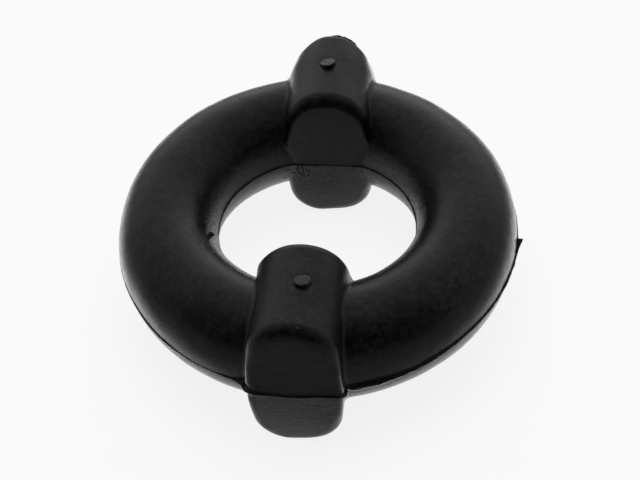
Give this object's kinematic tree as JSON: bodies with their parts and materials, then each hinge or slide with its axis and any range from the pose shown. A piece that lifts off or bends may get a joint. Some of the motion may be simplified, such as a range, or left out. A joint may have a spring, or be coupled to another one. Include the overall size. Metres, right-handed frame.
{
  "type": "exhaust hanger ring",
  "caption": "Thick moulded rubber ring with round-crowned lugs across it, which carries an exhaust pipe between hooks.",
  "frame": {"origin": "centre of the ring on the mould's parting plane", "axes": "+Z along the ring's axis towards the taller halves of the lugs, Y through both lugs, X across them"},
  "size_m": [0.0647, 0.068, 0.0268],
  "materials": {
    "rubber": "black moulded rubber with a satin skin, matt where it was torn from its feed and flash"
  },
  "bodies": {
    "root": {"hanger_ring": "rubber"}
  },
  "joints": []
}
